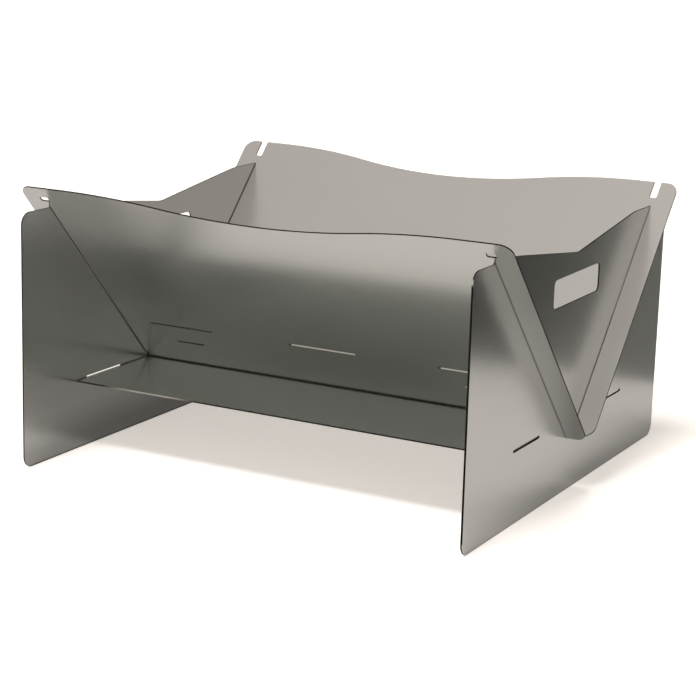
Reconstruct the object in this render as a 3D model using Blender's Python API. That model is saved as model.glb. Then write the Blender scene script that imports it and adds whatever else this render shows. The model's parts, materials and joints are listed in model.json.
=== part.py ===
"""Flat-pack fire bowl of stainless sheet, slotted together without a fastener.

Two upright end plates stand on the ground. Two side plates lean outwards between them as the walls of a
V-shaped trough, and a level base plate with four tabs is its floor. Each side plate meets each end plate in a
half-lap: the end plate is slotted from its top edge down to the middle of the joint, the side plate from its
foot up to the same point, and each fills the other's slot.

Metres. X runs along the bowl, the front is at -Y, Z is up, and the origin is on the ground under the middle.
On a side plate, the slope coordinate runs up the sheet from the level of the end plates' top edge.
"""

import math

import bmesh
import bpy
from mathutils import Matrix, Vector

# The sheet and its fits
SHEET = 0.0015
CLEARANCE = 0.0003
CORNER_RADIUS = 0.013
EDGE_BREAK = 0.00015

# End plates
INNER_LENGTH = 0.502
END_HEIGHT = 0.270
END_DEPTH = 0.506
SLOT_EDGE = 0.0485
DIP_SHOULDER = 0.0495
DIP_DEPTH = 0.020
DIP_SHOULDER_RADIUS = 0.150
DIP_BOTTOM_RADIUS = 0.040
HAND_HOLE_WIDTH = 0.120
HAND_HOLE_HEIGHT = 0.0295
HAND_HOLE_DROP = 0.020
HAND_HOLE_RADIUS = 0.006

# Base plate
BASE_LEVEL = 0.076
BASE_DEPTH = 0.324
BASE_CORNER_RADIUS = 0.002
TAB_WIDTH = 0.060
TAB_INSET = 0.021
TAB_SIDE_PLAY = 0.002
TAB_HEADROOM = 0.0012
TAB_CORNER_RADIUS = 0.0008
TAB_SLOT_RADIUS = 0.0013

# Side plates
FLOOR_WIDTH = 0.048
FOOT_GAP = 0.012
HOOK_WIDTH = 0.0234
EAR_RISE = 0.031
SCOOP_INSET = 0.026
SCOOP_DEPTH = 0.021
EYE_WIDTH = 0.010
EYE_HEIGHT = 0.006
EYE_RISE = 0.0105
EYE_RADIUS = 0.0015
NOTCH_WIDTH = 0.008
NOTCH_RISE = 0.010
NOTCH_RADIUS = 0.0025
VENT_LENGTH = 0.080
VENT_WIDTH = 0.0024
VENT_EDGE = 0.0355
VENT_RISE = 0.071
SHORT_VENT_LENGTH = 0.035
SHORT_VENT_DROP = 0.0295
VENT_END_RADIUS = 0.0011

# Fineness of the curves
ARC_STEP = math.radians(9)
LEAST_ARC_STEPS = 3
SCOOP_STEPS = 16

# The steel as the photograph shows it
STEEL_COLOUR = (0.56, 0.54, 0.51, 1.0)
STEEL_ROUGHNESS = 0.28

# Where the plates cross, worked out from the sizes above
SLOT_Y = END_DEPTH / 2 - SLOT_EDGE
LEAN = math.atan2(SLOT_Y - FLOOR_WIDTH / 2, END_HEIGHT - BASE_LEVEL)
END_X = INNER_LENGTH / 2 + SHEET / 2
HOOK_FOOT = -(SLOT_Y - FOOT_GAP / 2 - SHEET / 2 * math.cos(LEAN)) / math.sin(LEAN)
LAP = HOOK_FOOT / 2
PANEL_FOOT = -(END_HEIGHT - BASE_LEVEL - CLEARANCE - (SHEET / 2 - EDGE_BREAK) * math.sin(LEAN)) / math.cos(LEAN)
SLOT_HALF_WIDTH = SHEET / 2 + CLEARANCE


def rounded(corners):
    """Points round a closed polygon of (x, y, radius) corners, with each radius drawn as a tangent arc."""
    points = []
    for index, (x, y, radius) in enumerate(corners):
        corner = Vector((x, y))
        if radius == 0:
            points.append(corner)
            continue
        back = (Vector(corners[index - 1][:2]) - corner).normalized()
        ahead = (Vector(corners[(index + 1) % len(corners)][:2]) - corner).normalized()
        half_angle = back.angle(ahead) / 2
        centre = corner + (back + ahead).normalized() * (radius / math.sin(half_angle))
        start = corner + back * (radius / math.tan(half_angle)) - centre
        turn = math.pi - 2 * half_angle
        steps = max(LEAST_ARC_STEPS, math.ceil(turn / ARC_STEP))
        direction = -1 if back.cross(ahead) > 0 else 1
        for step in range(steps + 1):
            points.append(centre + Matrix.Rotation(direction * turn * step / steps, 2) @ start)
    return points


def mirrored(half):
    """A closed outline from its right half, a list of corners from the middle of one edge round to the other."""
    return half + [(-x, y, radius) for x, y, radius in reversed(half) if x > 0]


def rounded_slot(middle_x, middle_y, width, height, radius):
    """A rectangular hole with round corners, as a closed loop of points."""
    left, right = middle_x - width / 2, middle_x + width / 2
    low, high = middle_y - height / 2, middle_y + height / 2
    return rounded([(left, low, radius), (right, low, radius), (right, high, radius), (left, high, radius)])


def on_slope(slope, outward):
    """Place (y, z) in an end plate of a point on the rear side plate's slope, outward from its mid-plane."""
    y = SLOT_Y + slope * math.sin(LEAN) + outward * math.cos(LEAN)
    z = END_HEIGHT + slope * math.cos(LEAN) - outward * math.sin(LEAN)
    return y, z


def end_plate_outline():
    """A rectangle on its straight foot, with a shallow dip in the top edge and a slanted slot on each side."""
    slot_floor = LAP - CLEARANCE / 2
    mouth = SLOT_HALF_WIDTH / math.cos(LEAN)
    half = [
        (END_DEPTH / 2, 0, CORNER_RADIUS),
        (END_DEPTH / 2, END_HEIGHT, CORNER_RADIUS),
        (SLOT_Y + mouth, END_HEIGHT, 0),
        (*on_slope(slot_floor, SLOT_HALF_WIDTH), 0),
        (*on_slope(slot_floor, -SLOT_HALF_WIDTH), 0),
        (SLOT_Y - mouth, END_HEIGHT, 0),
        (SLOT_Y - DIP_SHOULDER, END_HEIGHT, DIP_SHOULDER_RADIUS),
        (0, END_HEIGHT - DIP_DEPTH, DIP_BOTTOM_RADIUS),
    ]
    return rounded(mirrored(half))


def end_plate_holes():
    """The hand hole under the dip and the two level slots that take the base plate's tabs."""
    hand_hole_top = END_HEIGHT - DIP_DEPTH - HAND_HOLE_DROP
    holes = [rounded_slot(0, hand_hole_top - HAND_HOLE_HEIGHT / 2, HAND_HOLE_WIDTH, HAND_HOLE_HEIGHT,
                          HAND_HOLE_RADIUS)]
    slot_height = CLEARANCE + SHEET + TAB_HEADROOM
    slot_middle = BASE_LEVEL - SHEET - CLEARANCE + slot_height / 2
    for side in (-1, 1):
        holes.append(rounded_slot(side * tab_middle(), slot_middle, TAB_WIDTH + 2 * TAB_SIDE_PLAY, slot_height,
                                  TAB_SLOT_RADIUS))
    return holes


def tab_middle():
    """Distance of a tab's middle from the base plate's long middle line."""
    return BASE_DEPTH / 2 - TAB_INSET - TAB_WIDTH / 2


def base_plate_outline():
    """A rectangle that fits between the end plates, with two tabs on each end that reach their outer faces."""
    shoulder = INNER_LENGTH / 2 - CLEARANCE
    tab_end = INNER_LENGTH / 2 + SHEET
    inner, outer = tab_middle() - TAB_WIDTH / 2, tab_middle() + TAB_WIDTH / 2
    quarter = [
        (shoulder, inner, 0),
        (tab_end, inner, TAB_CORNER_RADIUS),
        (tab_end, outer, TAB_CORNER_RADIUS),
        (shoulder, outer, 0),
        (shoulder, BASE_DEPTH / 2, BASE_CORNER_RADIUS),
    ]
    half = [(x, -y, radius) for x, y, radius in reversed(quarter)] + quarter
    return rounded(mirrored(half))


def scoop_edge():
    """The side plate's top edge from the ear inwards to the middle: two equal arcs that turn it down and level."""
    run = INNER_LENGTH / 2 - SCOOP_INSET
    half_run, half_drop = run / 2, SCOOP_DEPTH / 2
    radius = (half_run ** 2 + half_drop ** 2) / (2 * half_drop)
    edge = []
    for step in range(SCOOP_STEPS + 1):
        x = run * (1 - step / SCOOP_STEPS)
        if x > half_run:
            slope = EAR_RISE - radius + math.sqrt(radius ** 2 - (run - x) ** 2)
        else:
            slope = EAR_RISE - SCOOP_DEPTH + radius - math.sqrt(radius ** 2 - x ** 2)
        edge.append((x, slope, 0))
    return edge


def side_plate_outline(notched):
    """A panel between the end plates, with a hook outside each of them and an ear above it.

    The gap between panel and hook is the side plate's half of the half-lap. A notched plate's ears are cut open
    from the top edge, over the end plates.
    """
    hook_tip = END_X + SHEET / 2 + HOOK_WIDTH
    half = [
        (INNER_LENGTH / 2 - CLEARANCE, PANEL_FOOT, 0),
        (END_X - SLOT_HALF_WIDTH, LAP + CLEARANCE / 2, 0),
        (END_X + SLOT_HALF_WIDTH, LAP + CLEARANCE / 2, 0),
        (END_X + SLOT_HALF_WIDTH, HOOK_FOOT, 0),
        (hook_tip, HOOK_FOOT, CORNER_RADIUS),
        (hook_tip, EAR_RISE, CORNER_RADIUS),
    ]
    if notched:
        half += [
            (END_X + NOTCH_WIDTH / 2, EAR_RISE, 0),
            (END_X + NOTCH_WIDTH / 2, NOTCH_RISE, NOTCH_RADIUS),
            (END_X - NOTCH_WIDTH / 2, NOTCH_RISE, NOTCH_RADIUS),
            (END_X - NOTCH_WIDTH / 2, EAR_RISE, 0),
        ]
    return rounded(mirrored(half + scoop_edge()))


def side_plate_holes(notched):
    """A row of long vents above the base plate, a short one under each outer vent, and the eyes in closed ears."""
    outer_vent = INNER_LENGTH / 2 - VENT_EDGE - VENT_LENGTH / 2
    row = PANEL_FOOT + VENT_RISE
    holes = []
    for side in (-1, 0, 1):
        holes.append(rounded_slot(side * outer_vent, row, VENT_LENGTH, VENT_WIDTH, VENT_END_RADIUS))
    for side in (-1, 1):
        holes.append(rounded_slot(side * outer_vent, row - SHORT_VENT_DROP, SHORT_VENT_LENGTH, VENT_WIDTH,
                                  VENT_END_RADIUS))
        if not notched:
            holes.append(rounded_slot(side * END_X, EYE_RISE + EYE_HEIGHT / 2, EYE_WIDTH, EYE_HEIGHT, EYE_RADIUS))
    return holes


def turned_inwards(loop, counter_clockwise):
    """The loop's points, in the direction that keeps the steel on the left."""
    points = [Vector(point[:2]) for point in loop]
    area = sum(first.cross(second) for first, second in zip(points, points[1:] + points[:1]))
    return points if (area > 0) == counter_clockwise else points[::-1]


def drawn_back(points, amount):
    """A closed loop moved into the steel on its left by the same amount everywhere."""
    moved = []
    for index, point in enumerate(points):
        before = (point - points[index - 1]).normalized()
        after = (points[(index + 1) % len(points)] - point).normalized()
        left_before, left_after = before.orthogonal(), after.orthogonal()
        moved.append(point + (left_before + left_after) * (amount / (1 + left_before.dot(left_after))))
    return moved


def cut_sheet(name, outline, holes):
    """A closed mesh of one cut sheet, flat in its own XY plane with its mid-plane at zero.

    Every cut edge has its two sharp corners broken, as deburring leaves them, so a rim has four rings of points.
    """
    bm = bmesh.new()
    rims = [turned_inwards(outline, True)] + [turned_inwards(hole, False) for hole in holes]
    levels = [
        (-SHEET / 2, EDGE_BREAK),
        (-SHEET / 2 + EDGE_BREAK, 0),
        (SHEET / 2 - EDGE_BREAK, 0),
        (SHEET / 2, EDGE_BREAK),
    ]
    lower_edges = []
    upper_vert = {}
    for rim in rims:
        rings = [[bm.verts.new((*point, height)) for point in drawn_back(rim, back)] for height, back in levels]
        for lower, upper in zip(rings, rings[1:]):
            for index, vert in enumerate(lower):
                bm.faces.new((lower[index - 1], vert, upper[index], upper[index - 1]))
        upper_vert.update(zip(rings[0], rings[-1]))
        lower_edges += [bm.edges.get((first, second)) for first, second in zip(rings[0], rings[0][1:] + rings[0][:1])]
    filled = bmesh.ops.triangle_fill(bm, use_beauty=True, use_dissolve=False, edges=lower_edges)
    for item in filled["geom"]:
        if isinstance(item, bmesh.types.BMFace):
            bm.faces.new([upper_vert[vert] for vert in item.verts])
    bmesh.ops.recalc_face_normals(bm, faces=bm.faces)
    mesh = bpy.data.meshes.new(name)
    bm.to_mesh(mesh)
    bm.free()
    mesh.shade_smooth()
    mesh.set_sharp_from_angle(angle=math.radians(30))
    return mesh


def steel(name):
    """Brushed stainless steel for one plate."""
    material = bpy.data.materials.new("brushed_steel_" + name)
    material.use_nodes = True
    shader = material.node_tree.nodes["Principled BSDF"]
    shader.inputs["Base Color"].default_value = STEEL_COLOUR
    shader.inputs["Metallic"].default_value = 1.0
    shader.inputs["Roughness"].default_value = STEEL_ROUGHNESS
    return material


def add_plate(name, outline, holes, location, rotation):
    """Put one cut sheet in the scene, turned from its own plane to where it stands in the bowl."""
    plate = bpy.data.objects.new(name, cut_sheet(name, outline, holes))
    plate.location = location
    plate.rotation_euler = rotation
    plate.data.materials.append(steel(name))
    bpy.context.scene.collection.objects.link(plate)


def build_end_plates():
    """The same plate at each end, standing across the bowl."""
    upright_across = (math.pi / 2, 0, math.pi / 2)
    for name, side in (("left_end_plate", -1), ("right_end_plate", 1)):
        add_plate(name, end_plate_outline(), end_plate_holes(), (side * END_X, 0, 0), upright_across)


def build_base_plate():
    """The floor, level, with its tabs on the floors of the end plates' slots."""
    add_plate("base_plate", base_plate_outline(), [], (0, 0, BASE_LEVEL - SHEET / 2), (0, 0, 0))


def build_side_plates():
    """The leaning walls. Each plate's origin is on the line that it slides along, at the top of the end plates."""
    for name, side, notched in (("front_side_plate", -1, False), ("rear_side_plate", 1, True)):
        lean_back = (math.pi / 2 - side * LEAN, 0, 0)
        place = (0, side * SLOT_Y, END_HEIGHT)
        add_plate(name, side_plate_outline(notched), side_plate_holes(notched), place, lean_back)


for leftover in list(bpy.data.objects):
    bpy.data.objects.remove(leftover)
build_end_plates()
build_base_plate()
build_side_plates()
print("lean from upright", round(math.degrees(LEAN), 2), "degrees")
print("slope of hook foot, lap and panel foot", [round(value * 1000, 2) for value in (HOOK_FOOT, LAP, PANEL_FOOT)])
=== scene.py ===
# %% [markdown]
# A flat-pack fire bowl of brushed stainless steel
#
# Five flat sheets slot together without a screw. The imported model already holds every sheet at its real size, with
# its slots, vents and rounded corners, so this lesson is about looks: how a plain sheet of metal gets its grain,
# its dark cut edges and its soft mirror images, and what stands round it so that the metal has something to
# reflect.

# %% The fixed model
import json
import math

import bpy
from mathutils import Matrix, Vector


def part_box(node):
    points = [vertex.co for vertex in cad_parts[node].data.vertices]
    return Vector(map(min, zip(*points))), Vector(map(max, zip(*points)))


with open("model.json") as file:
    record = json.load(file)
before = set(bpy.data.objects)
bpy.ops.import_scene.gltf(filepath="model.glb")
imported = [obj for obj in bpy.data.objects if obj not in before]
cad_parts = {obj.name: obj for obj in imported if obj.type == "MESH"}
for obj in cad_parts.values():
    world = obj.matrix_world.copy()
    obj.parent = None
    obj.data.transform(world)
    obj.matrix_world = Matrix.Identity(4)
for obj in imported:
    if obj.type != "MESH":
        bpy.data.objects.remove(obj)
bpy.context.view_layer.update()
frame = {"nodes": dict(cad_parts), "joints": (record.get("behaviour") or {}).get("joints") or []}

# %% [markdown]
# Where the sheets stand and which way they run
#
# The grain of a brushed sheet follows the sheet, so each plate's own directions are needed. The end plates stand
# upright and the base plate lies level, but the side plates lean. Their lean could be typed in as an angle. It is
# read from the frame's slides instead, because each side plate lifts out along its own slope. Two boxes from the
# frame say where an end plate and the base plate stand, so that the marks further down can be compared with them.

# %% Where the sheets stand
slopes = {joint["child"]: Vector(joint["axis"]).normalized() for joint in frame["joints"]}
end_low, end_high = (Vector(corner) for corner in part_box("right_end_plate"))
base_low, base_high = (Vector(corner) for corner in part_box("base_plate"))
print("slopes", {body: tuple(round(value, 4) for value in slope) for body, slope in slopes.items()})
print("right end plate from x", round(end_low.x, 4), "to", round(end_high.x, 4), "top at z", round(end_high.z, 4))
print("base plate's front edge at y", round(base_low.y, 4), "and its top at z", round(base_high.z, 4))

# %% [markdown]
# The camera
#
# The photograph was taken with a long lens from the front right, a little above the bowl, and the camera was held
# less than two degrees off level. A camera can be moved by hand until the picture agrees. Here it looks at an aim
# point inside the bowl from a known azimuth, elevation and distance, and a roll turns it about the line of sight,
# because these few numbers could be fitted to the edges of the sheets.

# %% Camera
AZIMUTH = math.radians(28.2)
ELEVATION = math.radians(13.58)
ROLL = math.radians(1.673)
DISTANCE = 2.1305
AIM = Vector((-0.0081, -0.0001, 0.1139))
LENS_MM = 101.75
SENSOR_MM = 36.0


def add_camera():
    """A camera at the photograph's place, turned by the photograph's roll."""
    back = Vector((
        math.sin(AZIMUTH) * math.cos(ELEVATION),
        -math.cos(AZIMUTH) * math.cos(ELEVATION),
        math.sin(ELEVATION),
    ))
    level_right = Vector((math.cos(AZIMUTH), math.sin(AZIMUTH), 0))
    level_up = back.cross(level_right)
    right = math.cos(ROLL) * level_right + math.sin(ROLL) * level_up
    up = back.cross(right)
    turn = Matrix((right, up, back)).transposed().to_4x4()
    camera = bpy.data.objects.new("photo_camera", bpy.data.cameras.new("photo_camera"))
    camera.matrix_world = Matrix.Translation(AIM + DISTANCE * back) @ turn
    camera.data.sensor_width = SENSOR_MM
    camera.data.lens = LENS_MM
    bpy.context.scene.collection.objects.link(camera)
    bpy.context.scene.camera = camera
    return camera


camera = add_camera()
print("camera at", tuple(round(value, 3) for value in camera.matrix_world.translation))

# %% [markdown]
# Shader sums in plain Python
#
# A material's sums could be drawn node by node. They read better as expressions, so this small class wraps an
# output socket and turns the usual operators into Math nodes. Its node method adds any other node: first the
# node's own settings, then the values or wires of its sockets. Directions go through Vector Math and colours
# through Mix, because a Math node would turn them into one number.

# %% Wires
class Wire:
    """One output socket of a shader tree."""

    def __init__(self, tree, socket=None):
        self.tree = tree
        self.socket = socket

    def node(self, kind, settings=None, inputs=None, output=0):
        """A new node of this kind, as the wire of one of its outputs."""
        made = self.tree.nodes.new(kind)
        for name, value in (settings or {}).items():
            setattr(made, name, value)
        for name, value in (inputs or {}).items():
            if isinstance(value, Wire):
                self.tree.links.new(value.socket, made.inputs[name])
            else:
                made.inputs[name].default_value = value
        return Wire(self.tree, made.outputs[output])

    def maths(self, operation, first, second):
        """A Math node on two wires or numbers."""
        return self.node("ShaderNodeMath", {"operation": operation}, {0: first, 1: second})

    def __add__(self, other):
        return self.maths("ADD", self, other)

    def __sub__(self, other):
        return self.maths("SUBTRACT", self, other)

    def __rsub__(self, other):
        return self.maths("SUBTRACT", other, self)

    def __mul__(self, other):
        return self.maths("MULTIPLY", self, other)

    __radd__ = __add__
    __rmul__ = __mul__

    def magnitude(self):
        """The value without its sign."""
        return self.node("ShaderNodeMath", {"operation": "ABSOLUTE"}, {0: self})

    def greatest(self, other):
        """The larger of this value and another."""
        return self.maths("MAXIMUM", self, other)

    def clamped(self, low=0.0, high=1.0):
        """The value, kept between two bounds."""
        return self.maths("MINIMUM", self.maths("MAXIMUM", self, low), high)

    def toward(self, direction):
        """How far this vector reaches in a direction."""
        return self.node("ShaderNodeVectorMath", {"operation": "DOT_PRODUCT"}, {0: self, 1: direction},
                         output="Value")

    def blended(self, first, second):
        """Two colours, mixed with this value as the share of the second."""
        return self.node("ShaderNodeMix", {"data_type": "RGBA"}, {"Factor": self, "A": first, "B": second},
                         output="Result")


print("a wire can be added, subtracted, multiplied, clamped, measured in a direction and used to blend")

# %% [markdown]
# Masks made of distances
#
# Most marks on the sheets are a band or a corner with a soft border. A painted mask would need an image. A mask
# that is worked out from a distance and a bound stays sharp at any size, so two small helpers make them all.

# %% Masks
def mask_between(value, low, high, softness=0.0005):
    """1 where the value lies between the two bounds, 0 outside, with soft borders."""
    return ((value - low) * (1 / softness)).clamped() * ((high - value) * (1 / softness)).clamped()


def eased(value):
    """A ramp from 0 to 1 that starts and ends gently."""
    share = value.clamped()
    return share * share * (3.0 - share * 2.0)


print("two masks: a band with soft borders, and an eased ramp")

# %% [markdown]
# The grain
#
# The sheet is brushed in one direction at the mill, which leaves fine grooves. As geometry they would take millions
# of faces, so they are noise that is stretched along the sheet until it looks like hair. A second, broad noise
# stands for faint clouds in the sheet. Both are read from distances in metres, run along the grain and step across
# it, so the grain has the same size on every plate. One hair line is narrower than a pixel of the whole picture,
# so the lines hardly show in it, and they are weaker than the photograph's.

# %% Hair lines and clouds
HAIR_RUN, HAIR_STEP = 16.0, 2000.0
CLOUD_RUN, CLOUD_STEP = 5.0, 14.0
NOISE_MIDDLE = 0.5


def stretched_noise(run, step, detail, roughness):
    """Noise between 0 and 1, from distances that are already stretched."""
    place = run.node("ShaderNodeCombineXYZ", None, {0: run, 1: step})
    return place.node("ShaderNodeTexNoise", {"noise_dimensions": "2D"},
                      {"Vector": place, "Scale": 1.0, "Detail": detail, "Roughness": roughness})


def grain(run, step):
    """The fine hair lines and the broad clouds of brushed sheet."""
    hair = stretched_noise(run * HAIR_RUN, step * HAIR_STEP, detail=3.0, roughness=0.6)
    cloud = stretched_noise(run * CLOUD_RUN, step * CLOUD_STEP, detail=2.0, roughness=0.5)
    return hair, cloud


print("a hair line is about", 1000 / HAIR_STEP, "mm wide and", 1000 / HAIR_RUN, "mm long")

# %% [markdown]
# Cut edges
#
# The sheets look laser cut, with edges that are burnt almost black. A second material on the edge faces would need
# every face of the mesh to be sorted. The direction of a face tells the same: a face that doesn't look along the
# sheet's own facing direction is a cut face, or the tiny broken edge beside one.

# %% Finding the cut faces
CUT_FACING = 0.8
CUT_SHARPNESS = 8.0


def cut_faces(facing_share):
    """1 on the edges of the sheet, 0 on its two broad faces."""
    return 1.0 - ((facing_share.magnitude() - CUT_FACING) * CUT_SHARPNESS).clamped()


print("a face is all cut from", round(math.degrees(math.acos(CUT_FACING))), "degrees off the sheet's facing")

# %% [markdown]
# Painted shade in the joints
#
# Sheets that meet are 0.3 mm apart, and the photograph shows such a joint as a thin dark line. The lines could be
# drawn one by one where the joints are known to be. The Ambient Occlusion node finds them all: it tells how much
# of the space within one to three millimetres is open, and where little is open the colour is painted dark, as
# painted shade. Outside the end plates, where the hook strips lie, the photograph's lines are paler, so the joints
# count for less there.

# %% Finding the joints
END_MIDDLE = 0.2518
OUTSIDE_SHARPNESS = 3000.0
OUTSIDE_JOINT = 0.4
JOINT_OPEN = 0.5
JOINT_CONTRAST = 2.2
JOINT_SAMPLES = 8


def joint_shade(x, reach):
    """Painted shade beside another sheet that is within this reach, weaker outside the end plates."""
    outside = ((x.magnitude() - END_MIDDLE) * OUTSIDE_SHARPNESS).clamped()
    open_share = x.node("ShaderNodeAmbientOcclusion", {"samples": JOINT_SAMPLES}, {"Distance": reach}, output="AO")
    closed = 1.0 - ((open_share - JOINT_OPEN) * JOINT_CONTRAST).clamped()
    return closed * (1.0 - outside * (1 - OUTSIDE_JOINT))


print("middle of an end plate at x", END_MIDDLE, "and joints beyond it at", OUTSIDE_JOINT, "of full darkness")

# %% [markdown]
# The bow of the front plate
#
# A thin plate that is held at two slots can bow a little. In the photograph the bright band along the top of the
# front plate is broader than a flat mirror's would be. A plate that is bowed in the model wouldn't slide in its
# slots any more, so the bow is only a height for the Bump node. It starts part way up the slope and dies out
# towards the left end.

# %% A bow for the shading
BOW_START = 0.16
BOW_END = 0.27


def bow_height(x, step):
    """The square of the height above the bow's start, fading towards the left end."""
    leftward = (x * (-1 / BOW_END)).clamped()
    leftward = leftward * leftward
    rise = (step - BOW_START).greatest(0.0)
    return rise * rise * (1.0 - leftward * leftward)


print("the bow starts", BOW_START, "m up the slope")

# %% [markdown]
# The colour of the steel
#
# Stainless steel has almost the same grey in red, green and blue. One flat colour would look like paint, so the
# hair lines and the clouds vary it by a few parts in a hundred. Cut walls that the laser left clean are a little
# warmer, and burnt places are almost black; the same black is painted shade along the joints. Where the
# photograph's metal mirrors something dark, only its colour is darkened, as a painted dark reflection. A lower
# Metallic was tried there first, and left a visible crease in the render.

# %% Colour
STEEL = (0.61, 0.612, 0.60)
# Almost black: burnt cut edges, and painted shade along the joints.
BURNT_AND_SHADE_BLACK = (0.012, 0.011, 0.010)
BRIGHT_CUT = (0.58, 0.56, 0.52)
TONE, HAIR_TONE, CLOUD_TONE = 0.98, 0.03, 0.04


def steel_colour(hair, cloud, cut, burnt_and_shaded, dark_reflection):
    """Base colour: rolled face, clean cut, black burns and painted shade, dimmed by painted dark reflections."""
    light = (TONE + hair * HAIR_TONE + (cloud - NOISE_MIDDLE) * CLOUD_TONE) * (1.0 - dark_reflection)
    grey = light.node("ShaderNodeCombineColor", None, {0: light, 1: light, 2: light})
    rolled = light.node("ShaderNodeMix", {"data_type": "RGBA", "blend_type": "MULTIPLY"},
                        {"Factor": 1.0, "A": (*STEEL, 1), "B": grey}, output="Result")
    clean = cut.blended(rolled, (*BRIGHT_CUT, 1))
    return burnt_and_shaded.blended(clean, (*BURNT_AND_SHADE_BLACK, 1))


print("steel", STEEL, "clean cut", BRIGHT_CUT, "burnt_and_shaded", BURNT_AND_SHADE_BLACK)

# %% [markdown]
# One steel for every sheet
#
# Burnt places aren't bare metal any more, so Metallic falls to 0 there, and the painted shade of the joints takes
# the same path. The specular level is 0 as well, or they would still shine at a flat angle.
#
# Grooves spread a mirror image more one way than the other. The shader's Anisotropic does this too, with the wide
# spread along its Tangent. Real grooves spread the image across themselves. Here the wide spread lies along the
# grain, a choice that keeps the long borders of the mirrored bands crisp. The photograph's border on the front
# plate is about twice as soft, so a tangent across the grain is worth a try.
# Tangent has no value of its own to set, so one Combine XYZ node feeds it.

# %% Brushed steel
GRAIN_SPREAD = 0.5
HAIR_ROUGHNESS, CLOUD_ROUGHNESS, CUT_ROUGHNESS = 0.04, 0.05, 0.12
GROOVE_DEPTH = 0.000006


def brushed_steel(name, along, across, facing, roughness, bow, joint_reach, marks):
    """Steel whose grain runs along one direction of a sheet that faces another one.

    The marks function gets the wires run and step, the distances along and across the grain, and returns three
    masks: where cut walls are bright, where the colour turns black (the right end plate's burnt rim, and painted
    shade along the side plates' feet), and where the bare metal is darkened as a painted dark reflection.
    """
    material = bpy.data.materials.new(name)
    material.use_nodes = True
    tree = material.node_tree
    shader = tree.nodes["Principled BSDF"]
    place = Wire(tree).node("ShaderNodeTexCoord", output="Object")
    run, step, x = place.toward(along), place.toward(across), place.toward((1, 0, 0))
    facing_share = place.node("ShaderNodeNewGeometry", output="True Normal").toward(facing)

    hair, cloud = grain(run, step)
    cut = cut_faces(facing_share)
    bright, rim_burn_and_shade, dark_reflection = marks(run, step)
    # Black mask: burnt cut faces and rim, plus painted shade along the joints and the side plates' feet.
    burnt_and_shaded = (cut * (1.0 - bright)).greatest(joint_shade(x, joint_reach)).greatest(rim_burn_and_shade).clamped()
    colour = steel_colour(hair, cloud, cut, burnt_and_shaded, facing_share.clamped() * dark_reflection)
    rough = roughness + (hair - NOISE_MIDDLE) * HAIR_ROUGHNESS + (cloud - NOISE_MIDDLE) * CLOUD_ROUGHNESS
    rough = rough + cut * CUT_ROUGHNESS
    height = hair * GROOVE_DEPTH + bow_height(x, step) * facing_share * bow
    bump = height.node("ShaderNodeBump", None, {"Strength": 1.0, "Distance": 1.0, "Height": height}, output="Normal")
    tangent = place.node("ShaderNodeCombineXYZ", None, {0: along[0], 1: along[1], 2: along[2]})

    for socket, wire in (("Base Color", colour), ("Roughness", rough), ("Metallic", 1.0 - burnt_and_shaded),
                         ("Normal", bump), ("Tangent", tangent)):
        tree.links.new(wire.socket, shader.inputs[socket])
    shader.inputs["Specular IOR Level"].default_value = 0.0
    shader.inputs["Anisotropic"].default_value = GRAIN_SPREAD
    return material


print("brushed steel with an uneven spread of", GRAIN_SPREAD)

# %% [markdown]
# Marks on the end plates
#
# The photograph shows the left end plate a little darker at its foot, where it mirrors the shaded floor under the
# bowl; here that is a painted dark reflection. On the right end plate it shows a glint on the cut edge, in the round
# corner at the top in front. Below that the front edge is black, and looks wider than the sheet is thick, so a thin
# rim of the face is burnt too. Each plate gets a small function that returns its masks, so that one steel serves
# them all.

# %% Marks for the end plates
FOOT_TOP = 0.05
FOOT_FADE = 12.0
# How dark the painted dark reflection at the left end plate's foot is.
FOOT_DARK_REFLECTION = 0.43
GLINT_HEIGHT, GLINT_HEIGHT_FADE = (0.2574, 0.2638), 0.0015
GLINT_REACH = (-0.256, -0.246)
RIM_REACH, RIM_REACH_FADE = (-0.3, -0.2511), 0.0006
RIM_HEIGHT, RIM_HEIGHT_FADE = (0.012, 0.2574), 0.002


def dark_foot_reflection(run, step):
    """Painted dark reflection: the left end plate is darker near its foot, where it mirrors shaded floor."""
    return 0.0, 0.0, ((FOOT_TOP - step) * FOOT_FADE).clamped(0.0, FOOT_DARK_REFLECTION)


def corner_marks(run, step):
    """A bright spot on the cut edge in the round corner at the top in front, and a burnt rim below it."""
    glint = mask_between(step, *GLINT_HEIGHT, GLINT_HEIGHT_FADE) * mask_between(run, *GLINT_REACH)
    rim = mask_between(run, *RIM_REACH, RIM_REACH_FADE) * mask_between(step, *RIM_HEIGHT, RIM_HEIGHT_FADE)
    return glint, rim, 0.0


print("the burnt rim is", round((RIM_REACH[1] - end_low.y) * 1000, 1), "mm wide")

# %% [markdown]
# Marks on the side plates
#
# The vents are slits cut right through. In the photograph the walls of the middle and the right ones shine and
# those of the left ones don't, so a list says which stretches are clean. A thin black line runs where the front
# plate meets the base plate, and the rear plate gets the same one. The line is painted shade.

# %% Marks for both side plates
VENT_BAND = (0.105, 0.152)
CLEAN_VENTS = ((-0.0375, 0.045), (0.138, 0.22))
INSIDE = 0.2495
# The band and darkness of the painted shade at the side plates' feet.
SHADED_FOOT = (0.05, 0.0729)
FOOT_SHADE_DARKNESS = 0.95


def vent_marks(run, step):
    """The vents' walls shine where the laser left them clean, and the foot gets a thin line of painted shade."""
    first, second = (mask_between(run, *reach) for reach in CLEAN_VENTS)
    foot_shade = mask_between(step, *SHADED_FOOT) * mask_between(run, -INSIDE, INSIDE) * FOOT_SHADE_DARKNESS
    return mask_between(step, *VENT_BAND) * (first + second), foot_shade, 0.0


print("clean vents from x", CLEAN_VENTS[0], "and", CLEAN_VENTS[1])

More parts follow.
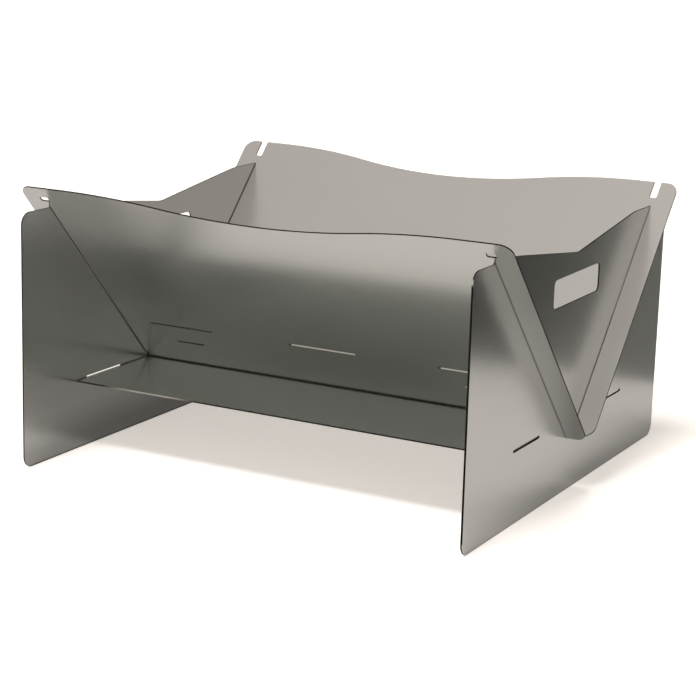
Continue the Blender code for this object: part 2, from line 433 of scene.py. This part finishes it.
# %% [markdown]
# Painted dark reflections on the front plate
#
# The front plate's upper left corner and the upper part of its right strip are darker in the photograph, where the
# metal mirrors something dark. That dark image is painted into the colour here as a painted dark reflection, so
# that it stays in place in every view. Both places fade in gently and stop at the end plates. Above the end plates'
# top edge they stop on a slanted line instead, because the end plate's mirror image ends there.

# %% Marks for the front plate
LAP_TOP = 0.3365
IMAGE_SLANT = 0.386
# The darkening of the corner and of the strip are painted dark reflections.
CORNER_RUN, CORNER_RUN_FADE = -0.11, 0.08
CORNER_STEP, CORNER_STEP_FADE = 0.13, 0.11
CORNER_SHARPNESS, CORNER_DARK_REFLECTION = 1500.0, 0.31
STRIP_STEP, STRIP_STEP_FADE = 0.16, 0.15
STRIP_SHARPNESS, STRIP_DARK_REFLECTION = 2000.0, 0.28


def front_marks(run, step):
    """The side plates' marks, and a painted dark reflection in the upper left corner and on the right strip."""
    bright, rim_burn_and_shade, _ = vent_marks(run, step)
    shift = (step - LAP_TOP).greatest(0.0) * IMAGE_SLANT
    corner = eased((CORNER_RUN - run) * (1 / CORNER_RUN_FADE)) * eased((step - CORNER_STEP) * (1 / CORNER_STEP_FADE))
    corner = corner * ((run - shift + INSIDE) * CORNER_SHARPNESS).clamped()
    strip = ((run - shift - END_MIDDLE) * STRIP_SHARPNESS).clamped()
    strip = strip * eased((step - STRIP_STEP) * (1 / STRIP_STEP_FADE))
    return bright, rim_burn_and_shade, corner * CORNER_DARK_REFLECTION + strip * STRIP_DARK_REFLECTION


print("the corner is darker by", CORNER_DARK_REFLECTION, "and the strip by", STRIP_DARK_REFLECTION)

# %% [markdown]
# Marks on the base plate
#
# The photograph shows two marks on the base plate: a dark line at the front plate's foot, and a bright stretch of
# its front edge towards the left end, as if the cut edge were polished there. The dark line is painted shade, and
# it is repeated at the rear plate's foot.

# %% Marks for the base plate
FOOT_LINE = (0.0222, 0.0236)
POLISHED_RUN, POLISHED_RUN_FADE = (-0.215, -0.10), 0.035
POLISHED_STEP = (-0.17, -0.1605)


def foot_marks(run, step):
    """A line of painted shade at each side plate's foot, and a polished stretch of the front edge."""
    polished = mask_between(run, *POLISHED_RUN, POLISHED_RUN_FADE) * mask_between(step, *POLISHED_STEP)
    return polished, mask_between(step.magnitude(), *FOOT_LINE) * FOOT_SHADE_DARKNESS, 0.0


print("the polished stretch lies on the edge at y", round(base_low.y, 4))

# %% [markdown]
# Dressing the sheets
#
# The model's sheets keep their meshes and places, and each only gets a material. One material could serve all of
# them, but each sheet has its own directions and marks. The end plates are brushed from front to back and the
# other three along the bowl. The side plates are a little smoother, by choice.

# %% Five sheets of steel
X_AXIS, Y_AXIS, Z_AXIS = Vector((1, 0, 0)), Vector((0, 1, 0)), Vector((0, 0, 1))
FLAT_ROUGHNESS, SIDE_ROUGHNESS = 0.25, 0.23
BOW = 0.17
END_JOINT, BASE_JOINT, SIDE_JOINT = 0.0026, 0.0012, 0.0018


def dress(node, along, across, roughness, bow, joint_reach, marks):
    """Give one CAD sheet its brushed steel."""
    facing = along.cross(across)
    steel = brushed_steel("steel_" + node, tuple(along), tuple(across), tuple(facing), roughness, bow, joint_reach,
                          marks)
    sheet = frame["nodes"][node]
    sheet.data.materials.clear()
    sheet.data.materials.append(steel)
    print(node, "grain along", tuple(along), "faces", tuple(round(value, 3) for value in facing))


dress("left_end_plate", Y_AXIS, Z_AXIS, FLAT_ROUGHNESS, 0.0, END_JOINT, dark_foot_reflection)
dress("right_end_plate", Y_AXIS, Z_AXIS, FLAT_ROUGHNESS, 0.0, END_JOINT, corner_marks)
dress("base_plate", X_AXIS, Y_AXIS, FLAT_ROUGHNESS, 0.0, BASE_JOINT, foot_marks)
dress("front_side_plate", X_AXIS, slopes["front_side"], SIDE_ROUGHNESS, -BOW, SIDE_JOINT, front_marks)
dress("rear_side_plate", X_AXIS, slopes["rear_side"], SIDE_ROUGHNESS, 0.0, SIDE_JOINT, vent_marks)

# %% [markdown]
# What the studio is made of
#
# The floor and the cards round the bowl are plain rectangles of matt stuff. Blender's own plane could be scaled and
# turned into place. A mesh made from its four corners says at once where it stands, so that is how they are made.

# %% Matt rectangles
def matt_material(name):
    """A material without gloss, a wire to start its sums from, and its shader."""
    material = bpy.data.materials.new(name)
    material.use_nodes = True
    shader = material.node_tree.nodes["Principled BSDF"]
    shader.inputs["Roughness"].default_value = 1.0
    shader.inputs["Specular IOR Level"].default_value = 0.0
    return material, Wire(material.node_tree), shader


def rectangle(name, corners, material):
    """A single face with four corners."""
    mesh = bpy.data.meshes.new(name)
    mesh.from_pydata(corners, [], [(0, 1, 2, 3)])
    mesh.materials.append(material)
    made = bpy.data.objects.new(name, mesh)
    bpy.context.scene.collection.objects.link(made)
    return made


print("matt rectangles for the floor and the cards")

# %% [markdown]
# Cards for the metal to mirror
#
# In an all-white room steel looks like grey plastic, so photographers stand darker cards near it. The rear card is
# behind the bowl on the right. The right end plate mirrors it as the dark field above its bright foot. The card is
# pale beside the bowl and dark further out, which gives the field a soft border.
#
# The low card in front darkens the lower middle and right of the front plate. The camera reaches it in three
# bounces, because the front plate mirrors the base plate, and in it the front plate once more. Both cards are
# seen in the metal only. They throw no shadow on the floor.

# %% Two cards
PALE_CARD = (0.26, 0.27, 0.26)
DARK_CARD = (0.008, 0.009, 0.008)
PALE_X = 0.36
DARK_X = 0.56
REAR_ENDS, REAR_HEIGHT = (Vector((0.16, 0.5025, 0)), Vector((1.60, 0.2865, 0))), 1.1
FRONT_CARD = (0.32, 0.36, 0.31)
FRONT_ENDS, FRONT_HEIGHT = (Vector((-1.1, -0.50, 0)), Vector((-0.02, -0.55, 0))), 0.14


def add_card(name, near, far, height, pale, dark):
    """A card that stands on the floor between two places, is seen only in the metal, and darkens with x."""
    material, start, shader = matt_material(name)
    x = start.node("ShaderNodeTexCoord", output="Object").toward((1, 0, 0))
    darkness = ((x - PALE_X) * (1 / (DARK_X - PALE_X))).clamped()
    colour = darkness.blended((*pale, 1), (*dark, 1))
    start.tree.links.new(colour.socket, shader.inputs["Base Color"])
    up = Vector((0, 0, height))
    card = rectangle(name, [near, far, far + up, near + up], material)
    card.visible_camera = False
    card.visible_diffuse = False
    card.visible_shadow = False
    return card


add_card("rear_card", *REAR_ENDS, REAR_HEIGHT, PALE_CARD, DARK_CARD)
add_card("front_card", *FRONT_ENDS, FRONT_HEIGHT, FRONT_CARD, FRONT_CARD)
print("rear card", REAR_HEIGHT, "m high, front card", FRONT_HEIGHT, "m high")

# %% [markdown]
# The floor
#
# The photograph's background is plain white. A floor could be lit until it is white, but so much light would wash
# out the metal. So about half of the white that the camera sees is a glow of the floor's own, and the rest is lit
# paper, which keeps the bowl's soft shadow. In mirror images the paper is darker and glows less, which brought the
# metal closer to the photograph's. Nothing here lets light through, so transmission needs no case of its own.

# %% White floor
FLOOR_REACH = 20.0
FLOOR_WHITE = 0.97
SKY = (1.0, 0.93, 0.865)
BLACK = (0, 0, 0, 1)
CAMERA_GLOW = 0.5
MIRROR_GLOW = 0.15
MIRROR_SHARE = 0.72


def add_floor():
    """A level white sheet under the bowl, far wider than the picture."""
    material, start, shader = matt_material("studio_white")
    seen = start.node("ShaderNodeLightPath", output="Is Camera Ray")
    mirrored = start.node("ShaderNodeLightPath", output="Is Glossy Ray")
    paper = (mirrored * (1 - MIRROR_SHARE)).blended((FLOOR_WHITE, FLOOR_WHITE, FLOOR_WHITE, 1), BLACK)
    glow = (seen * CAMERA_GLOW + mirrored * MIRROR_GLOW).blended(BLACK, (*SKY, 1))
    start.tree.links.new(paper.socket, shader.inputs["Base Color"])
    start.tree.links.new(glow.socket, shader.inputs["Emission Color"])
    shader.inputs["Emission Strength"].default_value = 1.0
    reach = FLOOR_REACH
    corners = [(-reach, -reach, 0), (reach, -reach, 0), (reach, reach, 0), (-reach, reach, 0)]
    floor = rectangle("studio_floor", corners, material)
    return floor


floor = add_floor()
print(floor.name, "is", 2 * FLOOR_REACH, "m wide")

# %% [markdown]
# Key and fill
#
# A lamp near metal shows as a hot spot, and the photograph has none. The key is therefore a sun with a wide angle,
# for soft shadows, and it isn't seen in the metal: it lights the floor, and the metal mirrors the floor. It stands
# almost overhead, a little to the front. A weak fill in front does the same for the floor that the front plate
# mirrors.

# %% Two lamps
LAMP_COLOUR = (1.0, 0.94, 0.875)
KEY_STRENGTH = 1.95
KEY_ANGLE = math.radians(20)
KEY_FROM = Vector((-0.08, -0.33, 0.94))
FILL_POWER = 1.0
FILL_WIDTH, FILL_DEPTH = 0.6, 0.15
FILL_PLACE = Vector((0.06, -0.42, 0.70))
FILL_AIM = Vector((0.06, -0.2, 0))


def add_lamp(name, kind, energy, source):
    """A lamp that shines from the side of its source direction and isn't seen in the metal."""
    lamp = bpy.data.lights.new(name, kind)
    lamp.energy = energy
    lamp.color = LAMP_COLOUR
    holder = bpy.data.objects.new(name, lamp)
    holder.rotation_euler = source.to_track_quat("Z", "Y").to_euler()
    holder.visible_glossy = False
    bpy.context.scene.collection.objects.link(holder)
    return holder


key = add_lamp("front_key", "SUN", KEY_STRENGTH, KEY_FROM)
key.data.angle = KEY_ANGLE
fill = add_lamp("front_fill", "AREA", FILL_POWER, FILL_PLACE - FILL_AIM)
fill.data.shape = "RECTANGLE"
fill.data.size = FILL_WIDTH
fill.data.size_y = FILL_DEPTH
fill.location = FILL_PLACE
fill.visible_camera = False
print(key.name, "strength", KEY_STRENGTH, "and", fill.name, FILL_POWER, "W")

# %% [markdown]
# The studio's sky
#
# The rest of the light comes from all round, as from the pale walls of a room. It could be one even grey. The
# plates in the photograph mirror different tones, though, so the sky is dimmer at the left and right, has a broad
# brighter patch behind the camera, and turns from warm to faintly green in front. It lights the floor less than it
# shows in the metal, which makes the shade under the bowl deep enough. For the camera it is plain white.

# %% World
WORLD_LEVEL = 0.855
SIDE_DIP = 0.67
WINDOW_GAIN = 1.2
WINDOW_FROM = (0.46, -0.84, 0.28)
WINDOW_SQUARINGS = 3
FLOOR_SHARE = 0.30
FRONT_SKY = (0.93, 0.97, 0.90)
WHITE = (1, 1, 1, 1)


def light_world():
    """A pale sky that is dimmer at both sides and brighter behind the camera."""
    world = bpy.data.worlds.new("studio_light")
    world.use_nodes = True
    tree = world.node_tree
    direction = Wire(tree).node("ShaderNodeTexCoord", output="Generated")
    rightward = direction.toward((1, 0, 0))
    frontward = direction.toward((0, -1, 0)).clamped()
    window = direction.toward(WINDOW_FROM).clamped()
    for _ in range(WINDOW_SQUARINGS):
        window = window * window
    lighting = direction.node("ShaderNodeLightPath", output="Is Diffuse Ray")
    seen = direction.node("ShaderNodeLightPath", output="Is Camera Ray")
    level = WORLD_LEVEL - rightward * rightward * SIDE_DIP + window * WINDOW_GAIN
    strength = level * (1.0 - lighting * (1 - FLOOR_SHARE)) * (1.0 - seen) + seen
    colour = (frontward * frontward).blended((*SKY, 1), (*FRONT_SKY, 1))
    background = tree.nodes["Background"]
    tree.links.new(seen.blended(colour, WHITE).socket, background.inputs["Color"])
    tree.links.new(strength.socket, background.inputs["Strength"])
    bpy.context.scene.world = world
    return world


world = light_world()
bpy.context.scene.view_settings.view_transform = "Standard"
print(world.name, "level", WORLD_LEVEL, "with", WINDOW_GAIN, "more behind the camera")
